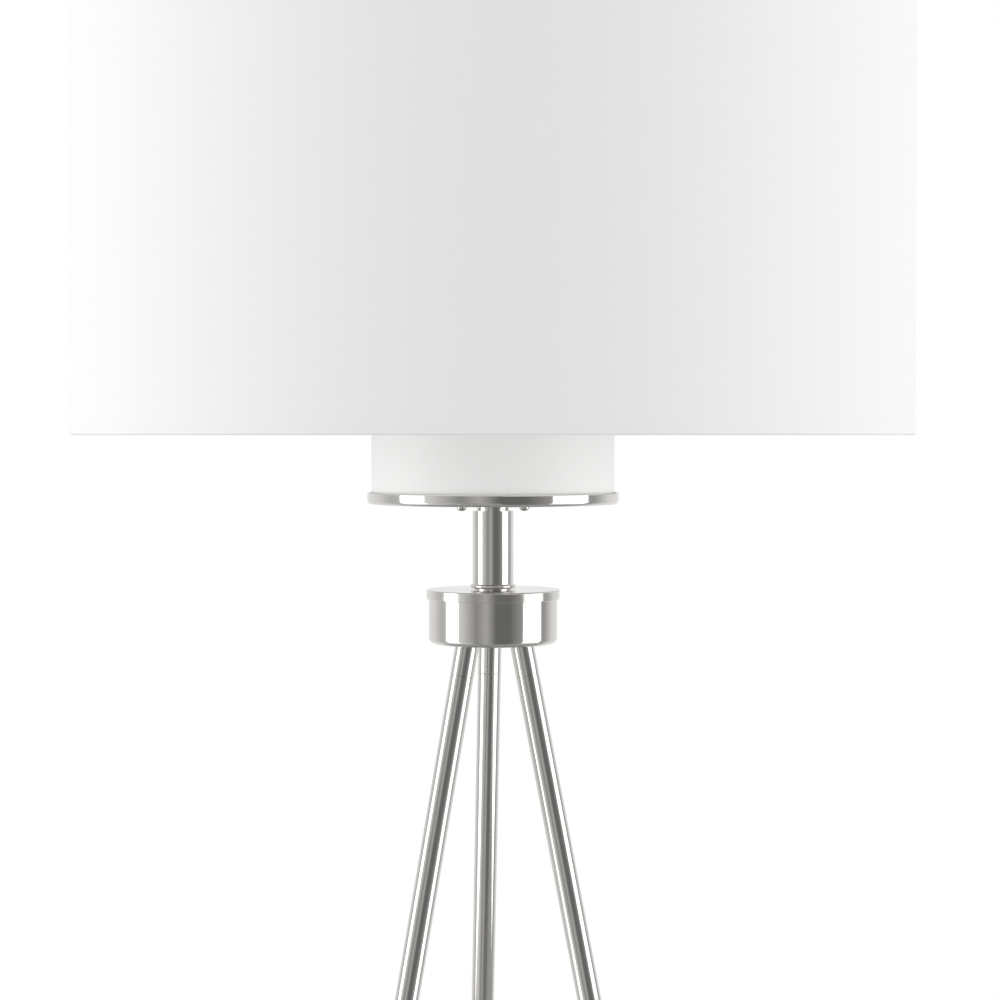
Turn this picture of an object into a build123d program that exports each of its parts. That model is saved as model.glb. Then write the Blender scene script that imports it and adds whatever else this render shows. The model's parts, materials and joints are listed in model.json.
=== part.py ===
"""Tripod floor lamp with a drum shade around a frosted glass cylinder.

Three slim tubular legs screw onto stubs under a round hub. A hollow threaded nipple rises from the
hub through a short stem and a shallow metal tray, and carries the harp saddle and the lampholder.
The glass cylinder stands in the tray, the drum shade hangs from the top of the harp.

Frame: millimetres, +Z up, origin on the floor on the lamp's axis. Leg 1 points to +Y (the back).
"""

import os
from math import atan2, cos, degrees, hypot, radians, sin, sqrt

from build123d import *

# ---------------------------------------------------------------- driving dimensions
# Tripod
hub_bottom_z = 1194.4
foot_radius = 267.0  # lamp axis to the centre of each sole
leg_top_radius = 17.0  # lamp axis to each leg's axis, at the hub's underside
leg_azimuths = (90.0, 210.0, 330.0)
leg_diameter = 12.7
leg_wall = 1.0
stub_exposed = 17.4  # along the leg, from the hub's underside to the first seam
seam_chamfer = 0.35
leg_stud_diameter = 8.0
leg_stud_bore = 5.6
leg_stud_reach = 12.0  # thread engaged on each side of a seam
leg_bush_length = 15.0
glide_oversize = 1.3
glide_thickness = 8.0  # along the leg, from the floor to the tube's end
glide_plug_length = 16.0
glide_edge = 0.8

# Cord outlet, low on the back of leg 1
cord_bush_height = 70.0  # along the leg, from the floor
cord_bush_bore = 5.6
cord_bush_wall = 0.9
cord_bush_flange = 11.0
cord_bush_flange_thickness = 1.4
cord_bush_inside = 1.6  # how far the barrel reaches inside the tube's wall

# Hub
hub_diameter = 69.5
hub_body_height = 24.0
hub_wall = 2.0
hub_corner = 3.2
leg_block_height = 12.0
lid_diameter = 72.0
lid_thickness = 5.2
lid_edge = 0.7
lid_groove_below_top = 1.7
lid_groove_width = 0.5
lid_groove_depth = 0.35
lid_spigot_height = 3.0
lid_spigot_wall = 3.0

# Stem
stem_length = 46.2  # lid top to tray underside
stem_diameter = 22.0
stem_wall = 1.2
collar_neck_height = 0.6
collar_neck_step = 1.0
collar_bead_height = 2.4
collar_bead_proud = 1.4
collar_spigot_height = 5.0
stem_plug_height = 6.0
stem_cap_thickness = 1.2
stem_neck_height = 3.7
stem_neck_step = 2.2
nipple_diameter = 10.0
nipple_bore = 6.6
nipple_above_saddle = 13.0
nipple_slot_width = 6.0

# Tray and glass
tray_play = 0.8  # radial, glass to rim
tray_height = 6.2
tray_floor = 1.8
tray_wall = 1.5
tray_corner = 2.1
tray_rim_edge = 0.5
glass_diameter = 131.2
glass_wall = 3.0
glass_height = 180.0
glass_lip = 1.2

# Harp saddle, harp and finial
saddle_thickness = 1.5
saddle_width = 12.0
saddle_tab_width = 7.0
saddle_span = 60.0  # between the inner faces of the two tabs
saddle_tab_height = 18.0
saddle_hole_pitch = 34.0
saddle_screw_diameter = 3.0
saddle_screw_head = 5.6
saddle_screw_head_height = 2.0
cap_nut_diameter = 5.6
cap_nut_height = 3.9
lock_washer_thickness = 1.0
lock_washer_diameter = 16.0
lock_nut_flats = 14.0
lock_nut_height = 4.5
harp_wire = 3.2
harp_height = 226.0  # wire's lower end to the top of the bow, on the wire's centreline
harp_to_glass = 8.6  # wire's centreline to the glass, at the harp's widest
harp_neck_height = 32.0
harp_shoulder_height = 66.0
harp_foot_above_saddle = 6.0
harp_sleeve_height = 9.0
harp_sleeve_wall = 0.7
harp_sleeve_play = 0.3
harp_stud_base_diameter = 9.6
harp_stud_diameter = 6.35
harp_stud_length = 16.0
finial_height = 21.0
finial_diameter = 17.0
finial_base_diameter = 13.0

# Lampholder and lamp
socket_cap_above_nut = 1.0
socket_cap_neck_diameter = 15.0
socket_cap_neck_height = 4.0
socket_cap_height = 13.0
socket_diameter = 33.0
socket_sheet = 0.7
socket_shell_height = 47.0
socket_shell_in_cap = 5.0
socket_liner_wall = 0.8
socket_core_height = 17.0
screw_shell_bore = 26.15
screw_shell_height = 24.0
terminal_screw_head = 6.0
terminal_screw_head_height = 1.4
terminal_screw_shank = 3.0
terminal_screw_depth = 4.0
lamp_base_diameter = 26.0
lamp_base_height = 21.0
lamp_diameter = 60.0
lamp_height = 108.0  # tip contact to the top of the globe
lamp_tip_diameter = 5.0
lamp_tip_height = 3.0
lamp_glass = 0.9
lamp_base_sheet = 0.5
lamp_insulator_height = 2.5

# Shade
shade_diameter = 450.0
shade_height = 230.0
shade_above_rim = 31.0  # tray rim to the shade's lower edge
fabric_thickness = 0.4
liner_thickness = 0.6
hem_thickness = 0.5
hem_width = 11.0
ring_wire = 3.4
spider_wire = 3.0
spider_hub_diameter = 26.0
spider_hub_thickness = 4.6
spider_arm_in_hub = 4.0
spider_arm_level = 42.0  # radius where each arm starts to rise
spider_arm_bend = 20.0
spider_azimuths = (90.0, 210.0, 330.0)

# Clearances
slip = 0.1  # radial, between pieces fixed together
running = 0.08  # radial, between a shaft and the piece that turns on it
seat_gap = 0.15  # between pieces of different bodies that rest on each other

# ---------------------------------------------------------------- levels on the lamp's axis
block_bottom_z = hub_bottom_z + hub_wall
block_top_z = block_bottom_z + leg_block_height
lid_bottom_z = hub_bottom_z + hub_body_height
lid_top_z = lid_bottom_z + lid_thickness
stem_bottom_z = lid_top_z + collar_neck_height + collar_bead_height
tray_bottom_z = lid_top_z + stem_length
stem_neck_z = tray_bottom_z - stem_neck_height
stem_top_z = stem_neck_z - stem_cap_thickness
tray_floor_z = tray_bottom_z + tray_floor
tray_rim_z = tray_bottom_z + tray_height
saddle_top_z = tray_floor_z + saddle_thickness
nipple_top_z = saddle_top_z + nipple_above_saddle
nut_bottom_z = saddle_top_z + lock_washer_thickness
nut_top_z = nut_bottom_z + lock_nut_height
socket_z = nut_top_z + socket_cap_above_nut
shell_bottom_z = socket_z + socket_cap_height - socket_shell_in_cap
shell_top_z = shell_bottom_z + socket_shell_height
shade_bottom_z = tray_rim_z + shade_above_rim
shade_top_z = shade_bottom_z + shade_height
harp_foot_z = saddle_top_z + harp_foot_above_saddle
harp_top_z = harp_foot_z + harp_height
spider_z = harp_top_z + harp_wire / 2 + 2.0 + seat_gap

# ---------------------------------------------------------------- radii shared between pieces
leg_radius = leg_diameter / 2
glide_diameter = leg_diameter + glide_oversize
leg_bore = leg_diameter - 2 * leg_wall
hub_bore = hub_diameter - 2 * hub_wall
stem_bore = stem_diameter - 2 * stem_wall
collar_neck_radius = stem_diameter / 2 - collar_neck_step
stem_neck_radius = stem_diameter / 2 - stem_neck_step
collar_bead_radius = stem_diameter / 2 + collar_bead_proud
glass_radius = glass_diameter / 2
tray_diameter = glass_diameter + 2 * (tray_play + tray_wall)
harp_bulge = glass_radius - glass_wall - harp_to_glass
shade_radius = shade_diameter / 2
liner_outer = shade_radius - fabric_thickness
liner_inner = liner_outer - liner_thickness
ring_radius = liner_inner - ring_wire / 2
harp_foot_x = saddle_span / 2 + saddle_thickness + harp_wire / 2
nipple_hole = nipple_diameter / 2 + slip

made = []


def keep(piece, label):
    """Labels a finished piece and puts it on the list of nodes to write."""
    piece.label = label
    made.append(piece)
    return piece


def turned(label, outline, axis=Axis.Z):
    """A solid of revolution about the lamp's axis, from (radius, height) corners."""
    with BuildPart() as blank:
        with BuildSketch(Plane.XZ):
            with BuildLine():
                Polyline(*outline, close=True)
            make_face()
        revolve(axis=axis)
    return keep(blank.part, label)


def circles_at(part, radius, height, accuracy=0.01):
    """The part's circular edges about the lamp's axis that have this radius and height."""
    found = part.edges().filter_by(GeomType.CIRCLE)
    found = found.filter_by(lambda edge: abs(edge.radius - radius) < accuracy)
    return found.filter_by(lambda edge: abs(edge.arc_center.Z - height) < accuracy)


# ---------------------------------------------------------------- tripod
def leg_plane(azimuth):
    """A plane square to a leg, with its origin at the sole's centre and +Z up along the leg."""
    outward = Vector(cos(radians(azimuth)), sin(radians(azimuth)), 0)
    sole = outward * foot_radius
    top = outward * leg_top_radius + Vector(0, 0, hub_bottom_z)
    return Plane(origin=sole, x_dir=Vector(0, 0, 1).cross(outward), z_dir=top - sole)


leg_length = hypot(hub_bottom_z, foot_radius - leg_top_radius)  # floor to the hub's underside
leg_tilt = degrees(atan2(foot_radius - leg_top_radius, hub_bottom_z))
first_seam = leg_length - stub_exposed
middle_seam = (glide_thickness + first_seam) / 2
stub_top = leg_length + (hub_wall + leg_block_height) / cos(radians(leg_tilt)) - 2.0


def leg_tube(label, plane, bottom, top):
    """A length of leg tube with its two outer ends eased."""
    with BuildPart() as tube:
        with BuildSketch(plane.offset(bottom)):
            Circle(leg_radius)
            Circle(leg_bore / 2, mode=Mode.SUBTRACT)
        extrude(amount=top - bottom)
        rims = tube.edges().filter_by(GeomType.CIRCLE)
        chamfer(rims.filter_by(lambda rim: abs(rim.radius - leg_radius) < 0.01), seam_chamfer)
    return keep(tube.part, label)


def lower_leg_with_outlet(label, plane, bottom, top):
    """The leg tube that the supply cord leaves, with a round hole low on its outer side."""
    with BuildPart() as tube:
        with BuildSketch(plane.offset(bottom)):
            Circle(leg_radius)
            Circle(leg_bore / 2, mode=Mode.SUBTRACT)
        extrude(amount=top - bottom)
        rims = tube.edges().filter_by(GeomType.CIRCLE)
        chamfer(rims.filter_by(lambda rim: abs(rim.radius - leg_radius) < 0.01), seam_chamfer)
        with BuildSketch(outlet_plane(plane)):
            Circle(cord_bush_bore / 2 + cord_bush_wall + slip)
        extrude(amount=leg_diameter, mode=Mode.SUBTRACT)
    return keep(tube.part, label)


def outlet_plane(plane):
    """A plane on the leg's axis at the cord outlet, facing out from the lamp."""
    origin = plane.from_local_coords((0, 0, cord_bush_height))
    return Plane(origin=origin, x_dir=plane.x_dir, z_dir=plane.x_dir.cross(plane.z_dir))


def cord_bush(plane):
    """A plastic bush in the outlet: a barrel through the tube's wall and a flange shaped to it."""
    out = outlet_plane(plane)
    barrel = cord_bush_bore / 2 + cord_bush_wall
    inside = leg_bore / 2 - cord_bush_inside
    with BuildPart() as bush:
        with BuildSketch(out.offset(inside)):
            Circle(barrel)
        extrude(amount=leg_radius + cord_bush_flange_thickness - inside)
        with BuildSketch(out):
            Circle(cord_bush_flange / 2)
            Circle(barrel, mode=Mode.SUBTRACT)
        extrude(amount=leg_radius + cord_bush_flange_thickness)
        # The flange is hollowed to sit on the tube, and the barrel alone goes on through the wall.
        with BuildSketch(plane.offset(cord_bush_height - cord_bush_flange)):
            Circle(leg_radius + 0.02)
        extrude(amount=2 * cord_bush_flange, mode=Mode.SUBTRACT)
        with BuildSketch(out.offset(inside)):
            Circle(barrel)
        extrude(amount=leg_radius + cord_bush_flange_thickness - inside)
        with BuildSketch(out):
            Circle(cord_bush_bore / 2)
        extrude(amount=leg_diameter, mode=Mode.SUBTRACT)
    return keep(bush.part, "cord_bush")


def foot_glide(label, plane):
    """A plastic glide: a plug in the tube's end and a pad cut level with the floor."""
    with BuildPart() as glide:
        with BuildSketch(plane.offset(-glide_diameter / 2)):
            Circle(glide_diameter / 2)
        extrude(amount=glide_diameter / 2 + glide_thickness)
        split(bisect_by=Plane.XY, keep=Keep.TOP)
        top_rim = glide.edges().filter_by(GeomType.CIRCLE)
        chamfer(top_rim, (glide_diameter - leg_diameter) / 2)
        sole_rim = glide.faces().sort_by(Axis.Z)[0].edges()
        chamfer(sole_rim, glide_edge)
        with BuildSketch(plane.offset(glide_thickness)):
            Circle(leg_bore / 2 - slip)
        extrude(amount=glide_plug_length)
        with BuildSketch(plane.offset(glide_thickness)):
            Circle(leg_bore / 2 - 2.5)
        extrude(amount=glide_plug_length, mode=Mode.SUBTRACT)
    return keep(glide.part, label)


def leg_stub(label, plane):
    """The solid end fixed in the hub, drilled right through for the cord and wider for the stud."""
    bottom = first_seam
    with BuildPart() as stub:
        with BuildSketch(plane.offset(bottom)):
            Circle(leg_radius)
        extrude(amount=stub_top - bottom)
        rims = stub.edges().filter_by(GeomType.CIRCLE)
        chamfer(rims, seam_chamfer)
        with BuildSketch(plane.offset(bottom)):
            Circle(leg_stud_bore / 2)
        extrude(amount=stub_top - bottom, mode=Mode.SUBTRACT)
        with BuildSketch(plane.offset(bottom)):
            Circle(leg_stud_diameter / 2)
        extrude(amount=leg_stud_reach, mode=Mode.SUBTRACT)
    return keep(stub.part, label)


def rings_along_legs(label, spans, outer, inner):
    """Equal hollow fasteners on every leg, one solid for each (bottom, top) span on each leg."""
    with BuildPart() as group:
        for azimuth in leg_azimuths:
            plane = leg_plane(azimuth)
            for bottom, top in spans:
                with BuildSketch(plane.offset(bottom)):
                    Circle(outer)
                    Circle(inner, mode=Mode.SUBTRACT)
                extrude(amount=top - bottom)
    return keep(group.part, label)


for number, azimuth in enumerate(leg_azimuths, start=1):
    leg = leg_plane(azimuth)
    foot_glide(f"foot_glide_{number}", leg)
    if number == 1:
        lower_leg_with_outlet("lower_leg_1", leg, glide_thickness, middle_seam)
        cord_bush(leg)
    else:
        leg_tube(f"lower_leg_{number}", leg, glide_thickness, middle_seam)
    leg_tube(f"upper_leg_{number}", leg, middle_seam, first_seam)
    leg_stub(f"leg_stub_{number}", leg)

rings_along_legs(
    "leg_bushes",
    [
        (first_seam - leg_bush_length, first_seam),
        (middle_seam, middle_seam + leg_bush_length),
        (middle_seam - leg_bush_length, middle_seam),
    ],
    leg_bore / 2,
    leg_stud_diameter / 2,
)
rings_along_legs(
    "leg_studs",
    [
        (first_seam - leg_stud_reach, first_seam + leg_stud_reach),
        (middle_seam - leg_stud_reach, middle_seam + leg_stud_reach),
    ],
    leg_stud_diameter / 2,
    leg_stud_bore / 2,
)


# ---------------------------------------------------------------- hub
# The slanted holes that the leg stubs pass through start here, below the hub.
leg_hole_planes = [leg_plane(azimuth).offset(leg_length - stub_exposed) for azimuth in leg_azimuths]
leg_hole_radius = leg_radius + slip / 2

with BuildPart() as hub_cup:
    with BuildSketch(Plane.XY.offset(hub_bottom_z)):
        Circle(hub_diameter / 2)
    extrude(amount=hub_body_height)
    fillet(circles_at(hub_cup.part, hub_diameter / 2, hub_bottom_z), hub_corner)
    with BuildSketch(Plane.XY.offset(block_bottom_z)):
        Circle(hub_bore / 2)
    extrude(amount=hub_body_height, mode=Mode.SUBTRACT)
    fillet(circles_at(hub_cup.part, hub_bore / 2, block_bottom_z), hub_corner - hub_wall)
    for hole_plane in leg_hole_planes:
        with BuildSketch(hole_plane):
            Circle(leg_hole_radius)
        extrude(amount=hub_diameter, mode=Mode.SUBTRACT)
keep(hub_cup.part, "hub_cup")

with BuildPart() as leg_block:
    with BuildSketch(Plane.XY.offset(block_bottom_z)):
        Circle(hub_bore / 2 - slip)
        Circle(nipple_diameter / 2, mode=Mode.SUBTRACT)
    extrude(amount=leg_block_height)
    rim = circles_at(leg_block.part, hub_bore / 2 - slip, block_bottom_z)
    chamfer(rim, hub_corner - hub_wall)
    for hole_plane in leg_hole_planes:
        with BuildSketch(hole_plane):
            Circle(leg_hole_radius)
        extrude(amount=hub_diameter, mode=Mode.SUBTRACT)
keep(leg_block.part, "leg_block")

with BuildPart() as hub_lid:
    with BuildSketch(Plane.XY.offset(lid_bottom_z)):
        Circle(lid_diameter / 2)
    extrude(amount=lid_thickness)
    with BuildSketch(Plane.XY.offset(lid_bottom_z - lid_spigot_height)):
        Circle(hub_bore / 2 - slip)
        Circle(hub_bore / 2 - slip - lid_spigot_wall, mode=Mode.SUBTRACT)
    extrude(amount=lid_spigot_height)
    fillet(circles_at(hub_lid.part, lid_diameter / 2, lid_top_z), lid_edge)
    fillet(circles_at(hub_lid.part, lid_diameter / 2, lid_bottom_z), lid_edge / 2)
    # A fine turned line runs round the lid's edge.
    with BuildSketch(Plane.XY.offset(lid_top_z - lid_groove_below_top - lid_groove_width)):
        Circle(lid_diameter / 2 + lid_groove_depth)
        Circle(lid_diameter / 2 - lid_groove_depth, mode=Mode.SUBTRACT)
    extrude(amount=lid_groove_width, mode=Mode.SUBTRACT)
    with BuildSketch(Plane.XY.offset(lid_bottom_z)):
        Circle(nipple_hole)
    extrude(amount=lid_thickness, mode=Mode.SUBTRACT)
keep(hub_lid.part, "hub_lid")

cavity_height = lid_bottom_z - block_top_z
with BuildPart() as centre_nipple:
    with BuildSketch(Plane.XY.offset(block_bottom_z)):
        Circle(nipple_diameter / 2)
        Circle(nipple_bore / 2, mode=Mode.SUBTRACT)
    extrude(amount=nipple_top_z - block_bottom_z)
    # In the hub's cavity a slot on the leg 1 side lets the cord out of the bore.
    with BuildSketch(Plane.XY.offset(block_top_z)):
        with Locations((0, nipple_diameter / 2)):
            Rectangle(nipple_slot_width, nipple_diameter)
    extrude(amount=cavity_height, mode=Mode.SUBTRACT)
keep(centre_nipple.part, "centre_nipple")

# ---------------------------------------------------------------- stem
bead_radius = collar_bead_height / 2
bead_mid_z = lid_top_z + collar_neck_height + bead_radius
with BuildPart() as stem_collar:
    with BuildSketch(Plane.XZ):
        with BuildLine():
            Polyline(
                (nipple_hole, lid_top_z),
                (collar_neck_radius, lid_top_z),
                (collar_neck_radius, lid_top_z + collar_neck_height),
                (collar_bead_radius - bead_radius, lid_top_z + collar_neck_height),
            )
            ThreePointArc(
                (collar_bead_radius - bead_radius, lid_top_z + collar_neck_height),
                (collar_bead_radius, bead_mid_z),
                (collar_bead_radius - bead_radius, stem_bottom_z),
            )
            Polyline(
                (collar_bead_radius - bead_radius, stem_bottom_z),
                (stem_bore / 2 - slip, stem_bottom_z),
                (stem_bore / 2 - slip, stem_bottom_z + collar_spigot_height),
                (nipple_hole, stem_bottom_z + collar_spigot_height),
                (nipple_hole, lid_top_z),
            )
        make_face()
    revolve(axis=Axis.Z)
keep(stem_collar.part, "stem_collar")

turned(
    "stem_tube",
    [
        (stem_bore / 2, stem_bottom_z),
        (stem_diameter / 2, stem_bottom_z),
        (stem_diameter / 2, stem_top_z),
        (stem_bore / 2, stem_top_z),
    ],
)
turned(
    "stem_top_plug",
    [
        (nipple_hole, stem_top_z - stem_plug_height),
        (stem_bore / 2 - slip, stem_top_z - stem_plug_height),
        (stem_bore / 2 - slip, stem_top_z),
        (stem_diameter / 2, stem_top_z),
        (stem_diameter / 2, stem_neck_z),
        (stem_neck_radius, stem_neck_z),
        (stem_neck_radius, tray_bottom_z),
        (nipple_hole, tray_bottom_z),
    ],
)

# ---------------------------------------------------------------- tray, saddle and their fasteners
saddle_hole_locations = [(-saddle_hole_pitch / 2, 0), (saddle_hole_pitch / 2, 0)]

with BuildPart() as tray:
    with BuildSketch(Plane.XY.offset(tray_bottom_z)):
        Circle(tray_diameter / 2)
    extrude(amount=tray_height)
    fillet(circles_at(tray.part, tray_diameter / 2, tray_bottom_z), tray_corner)
    fillet(circles_at(tray.part, tray_diameter / 2, tray_rim_z), tray_rim_edge)
    with BuildSketch(Plane.XY.offset(tray_floor_z)):
        Circle(tray_diameter / 2 - tray_wall)
    extrude(amount=tray_height, mode=Mode.SUBTRACT)
    with BuildSketch(Plane.XY.offset(tray_bottom_z)):
        Circle(nipple_hole)
        with Locations(*saddle_hole_locations):
            Circle(saddle_screw_diameter / 2 + slip)
    extrude(amount=tray_floor, mode=Mode.SUBTRACT)
keep(tray.part, "tray")

with BuildPart() as harp_saddle:
    saddle_length = saddle_span + 2 * saddle_thickness
    with BuildSketch(Plane.XY.offset(tray_floor_z)):
        Rectangle(saddle_length, saddle_width)
    extrude(amount=saddle_thickness)
    with BuildSketch(Plane.XY.offset(saddle_top_z)):
        for side in (-1, 1):
            with Locations((side * (saddle_span + saddle_thickness) / 2, 0)):
                Rectangle(saddle_thickness, saddle_tab_width)
    extrude(amount=saddle_tab_height)
    tab_tops = harp_saddle.faces().filter_by(Axis.Z).sort_by(Axis.Z)[-2:]
    chamfer(tab_tops.edges().filter_by(Axis.X), saddle_tab_width / 5)
    with BuildSketch(Plane.XY.offset(tray_floor_z)):
        Circle(nipple_hole)
        with Locations(*saddle_hole_locations):
            Circle(saddle_screw_diameter / 2 + slip)
    extrude(amount=saddle_thickness, mode=Mode.SUBTRACT)
keep(harp_saddle.part, "harp_saddle")

screw_end_z = tray_bottom_z - cap_nut_height / 2
with BuildPart() as saddle_screws:
    with BuildSketch(Plane.XY.offset(screw_end_z)):
        with Locations(*saddle_hole_locations):
            Circle(saddle_screw_diameter / 2)
    extrude(amount=saddle_top_z - screw_end_z)
    with BuildSketch(Plane.XY.offset(saddle_top_z)):
        with Locations(*saddle_hole_locations):
            Circle(saddle_screw_head / 2)
    extrude(amount=saddle_screw_head_height)
    head_tops = saddle_screws.faces().sort_by(Axis.Z)[-2:]
    fillet(head_tops.edges(), saddle_screw_head_height * 0.4)
    with BuildSketch(Plane.XY.offset(saddle_top_z + saddle_screw_head_height / 2)):
        with Locations(*saddle_hole_locations):
            Rectangle(saddle_screw_head, saddle_screw_head / 7)
    extrude(amount=saddle_screw_head_height, mode=Mode.SUBTRACT)
keep(saddle_screws.part, "saddle_screws")

with BuildPart() as saddle_cap_nuts:
    with BuildSketch(Plane.XY.offset(tray_bottom_z)):
        with Locations(*saddle_hole_locations):
            Circle(cap_nut_diameter / 2)
    extrude(amount=-cap_nut_height)
    nut_ends = saddle_cap_nuts.faces().sort_by(Axis.Z)[:2]
    fillet(nut_ends.edges(), cap_nut_diameter * 0.35)
    with BuildSketch(Plane.XY.offset(tray_bottom_z)):
        with Locations(*saddle_hole_locations):
            Circle(saddle_screw_diameter / 2)
    extrude(amount=screw_end_z - tray_bottom_z, mode=Mode.SUBTRACT)
keep(saddle_cap_nuts.part, "saddle_cap_nuts")

turned(
    "lock_washer",
    [
        (nipple_hole, saddle_top_z),
        (lock_washer_diameter / 2, saddle_top_z),
        (lock_washer_diameter / 2, nut_bottom_z),
        (nipple_hole, nut_bottom_z),
    ],
)

with BuildPart() as lock_nut:
    with BuildSketch(Plane.XY.offset(nut_bottom_z)):
        RegularPolygon(lock_nut_flats / 2, 6, major_radius=False)
        Circle(nipple_diameter / 2, mode=Mode.SUBTRACT)
    extrude(amount=lock_nut_height)
keep(lock_nut.part, "lock_nut")

# ---------------------------------------------------------------- lampholder
cap_inner = socket_diameter / 2
cap_outer = cap_inner + socket_sheet
cap_shoulder_z = socket_z + socket_cap_neck_height
cap_rim_z = socket_z + socket_cap_height
turned(
    "socket_cap",
    [
        (nipple_diameter / 2, socket_z),
        (socket_cap_neck_diameter / 2, socket_z),
        (socket_cap_neck_diameter / 2, cap_shoulder_z - 1),
        (cap_outer - 2, cap_shoulder_z - 1),
        (cap_outer, cap_shoulder_z + 1),
        (cap_outer, cap_rim_z),
        (cap_inner, cap_rim_z),
        (cap_inner, shell_bottom_z),
        (cap_inner - 1, shell_bottom_z),
        (cap_inner - 1, cap_shoulder_z + 0.4),
        (nipple_diameter / 2, cap_shoulder_z + 0.4),
    ],
)
shell_inner = socket_diameter / 2 - socket_sheet
turned(
    "socket_shell",
    [
        (shell_inner, shell_bottom_z),
        (socket_diameter / 2 - slip / 2, shell_bottom_z),
        (socket_diameter / 2 - slip / 2, shell_top_z),
        (shell_inner, shell_top_z),
    ],
)
liner_bore = shell_inner - slip / 2 - socket_liner_wall
turned(
    "socket_liner",
    [
        (liner_bore, shell_bottom_z),
        (shell_inner - slip / 2, shell_bottom_z),
        (shell_inner - slip / 2, shell_top_z - 0.5),
        (liner_bore, shell_top_z - 0.5),
    ],
)

core_radius = liner_bore - slip
core_bottom_z = shell_bottom_z + 1.5
core_top_z = core_bottom_z + socket_core_height
terminal_z = core_bottom_z + socket_core_height / 2
core_flat = core_radius - terminal_screw_head_height - slip
with BuildPart() as socket_core:
    with BuildSketch(Plane.XY.offset(core_bottom_z)):
        Circle(core_radius)
        Rectangle(2 * core_flat, 2 * core_radius, mode=Mode.INTERSECT)
    extrude(amount=socket_core_height)
    for side in (-1, 1):
        face = Plane(origin=(side * core_flat, 0, terminal_z), z_dir=(side, 0, 0))
        with BuildSketch(face):
            Circle(terminal_screw_shank / 2)
        extrude(amount=-terminal_screw_depth, mode=Mode.SUBTRACT)
keep(socket_core.part, "socket_core")

with BuildPart() as terminal_screws:
    for side in (-1, 1):
        face = Plane(origin=(side * core_flat, 0, terminal_z), z_dir=(side, 0, 0))
        with BuildSketch(face):
            Circle(terminal_screw_shank / 2)
        extrude(amount=-terminal_screw_depth)
        with BuildSketch(face):
            Circle(terminal_screw_head / 2)
        extrude(amount=terminal_screw_head_height / 2)
keep(terminal_screws.part, "terminal_screws")

screw_shell_sheet = 0.5
screw_shell_z = core_top_z
screw_shell_top_z = screw_shell_z + screw_shell_height
contact_radius = 3.0
turned(
    "screw_shell",
    [
        (contact_radius + 2, screw_shell_z),
        (screw_shell_bore / 2 + screw_shell_sheet, screw_shell_z),
        (screw_shell_bore / 2 + screw_shell_sheet, screw_shell_top_z),
        (screw_shell_bore / 2, screw_shell_top_z),
        (screw_shell_bore / 2, screw_shell_z + screw_shell_sheet),
        (contact_radius + 2, screw_shell_z + screw_shell_sheet),
    ],
)
contact_top_z = screw_shell_z + 1.2
turned(
    "centre_contact",
    [(0, screw_shell_z), (contact_radius, screw_shell_z), (contact_radius, contact_top_z), (0, contact_top_z)],
)

# ---------------------------------------------------------------- lamp (bulb)
tip_z = contact_top_z + seat_gap
lamp_base_z = tip_z + lamp_tip_height
lamp_neck_z = lamp_base_z + lamp_base_height
globe_radius = lamp_diameter / 2
globe_mid_z = tip_z + lamp_height - globe_radius
globe_meet_angle = 38.0  # below the globe's equator, where the neck's curve joins the sphere
base_foot_radius = lamp_base_diameter / 2 - 3
insulator_top_z = lamp_base_z + lamp_insulator_height
turned(
    "bulb_tip",
    [
        (0, tip_z),
        (lamp_tip_diameter / 2, tip_z),
        (lamp_tip_diameter, lamp_base_z - lamp_tip_height / 2),
        (0, lamp_base_z - lamp_tip_height / 2),
    ],
)
turned(
    "bulb_insulator",
    [
        (0, lamp_base_z - lamp_tip_height / 2),
        (lamp_tip_diameter, lamp_base_z - lamp_tip_height / 2),
        (base_foot_radius - lamp_base_sheet, lamp_base_z),
        (base_foot_radius - lamp_base_sheet, insulator_top_z),
        (0, insulator_top_z),
    ],
)

thread_pitch = 3.6
thread_depth = 0.9
thread_turns = 4
thread_start_z = lamp_base_z + 2.5
base_outline = [(base_foot_radius, lamp_base_z)]
base_outline.append((lamp_base_diameter / 2 - thread_depth, thread_start_z))
for thread_turn in range(thread_turns):
    crest_z = thread_start_z + (thread_turn + 0.5) * thread_pitch
    base_outline.append((lamp_base_diameter / 2, crest_z))
    base_outline.append((lamp_base_diameter / 2 - thread_depth, crest_z + thread_pitch / 2))
base_outline.append((lamp_base_diameter / 2 - thread_depth, lamp_neck_z))
base_inside = [(radius - lamp_base_sheet, height) for radius, height in reversed(base_outline)]
turned("bulb_base", base_outline + base_inside)


def globe_profile(inset):
    """Half of the globe's section, drawn smaller by the inset and open at the neck."""
    neck = (lamp_base_diameter / 2 - thread_depth - inset, lamp_neck_z)
    sphere = globe_radius - inset
    below = radians(globe_meet_angle)
    meet = (sphere * cos(below), globe_mid_z - sphere * sin(below))
    crown = (0, globe_mid_z + sphere)
    side = (sphere * cos(below / 2), globe_mid_z + sphere * sin(below / 2))
    with BuildSketch(Plane.XZ) as profile:
        with BuildLine():
            Spline(neck, meet, tangents=[(0, 1), (sin(below), cos(below))])
            ThreePointArc(meet, side, crown)
            Polyline(crown, (0, lamp_neck_z), neck)
        make_face()
    return profile.sketch


with BuildPart() as bulb_globe:
    add(globe_profile(0) - globe_profile(lamp_glass))
    revolve(axis=Axis.Z)
keep(bulb_globe.part, "bulb_globe")

# ---------------------------------------------------------------- glass
glass_bottom_z = tray_floor_z + seat_gap
glass_top_z = glass_bottom_z + glass_height
with BuildPart() as glass:
    with BuildSketch(Plane.XY.offset(glass_bottom_z)):
        Circle(glass_radius)
        Circle(glass_radius - glass_wall, mode=Mode.SUBTRACT)
    extrude(amount=glass_height)
    fillet(glass.edges().filter_by(GeomType.CIRCLE), glass_lip)
keep(glass.part, "glass_diffuser")

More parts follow.
